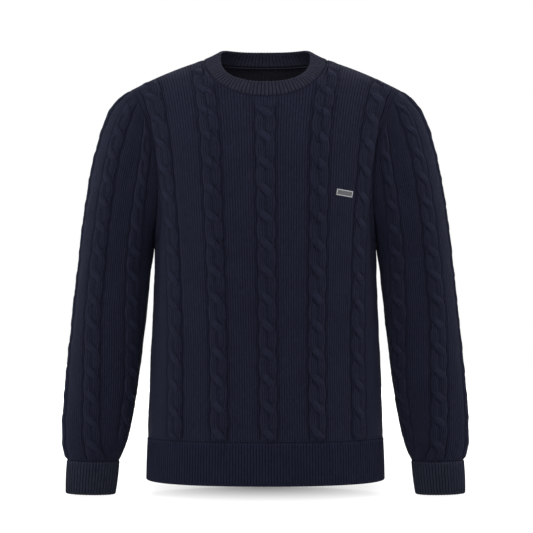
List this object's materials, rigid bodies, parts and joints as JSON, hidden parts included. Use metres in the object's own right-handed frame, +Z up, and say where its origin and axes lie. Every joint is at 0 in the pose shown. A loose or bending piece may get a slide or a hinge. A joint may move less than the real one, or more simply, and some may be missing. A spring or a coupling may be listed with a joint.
{
  "type": "cable knit sweater",
  "caption": "Filled-out crew neck pullover in cable knit, with set-in long sleeves, ribbed neckband, hem and cuffs.",
  "frame": {"origin": "midway between the two high shoulder points, where the shoulder seams meet the neckband", "axes": "+X to the wearer's left, -Y out of the front, +Z up"},
  "size_m": [0.6362, 0.2624, 0.6985],
  "materials": {
    "cable_knit": "navy wool and cotton yarn in cable knit, matt with a soft nap",
    "rib_knit": "navy yarn in rib knit, matt with a soft nap",
    "woven_tab": "plain dark woven tab, faint sheen"
  },
  "bodies": {
    "root": {"front_panel": "cable_knit", "back_panel": "cable_knit", "left_sleeve": "cable_knit", "right_sleeve": "cable_knit", "neckband": "rib_knit", "front_hem_band": "rib_knit", "back_hem_band": "rib_knit", "left_cuff": "rib_knit", "right_cuff": "rib_knit", "chest_badge": "woven_tab"}
  },
  "joints": []
}
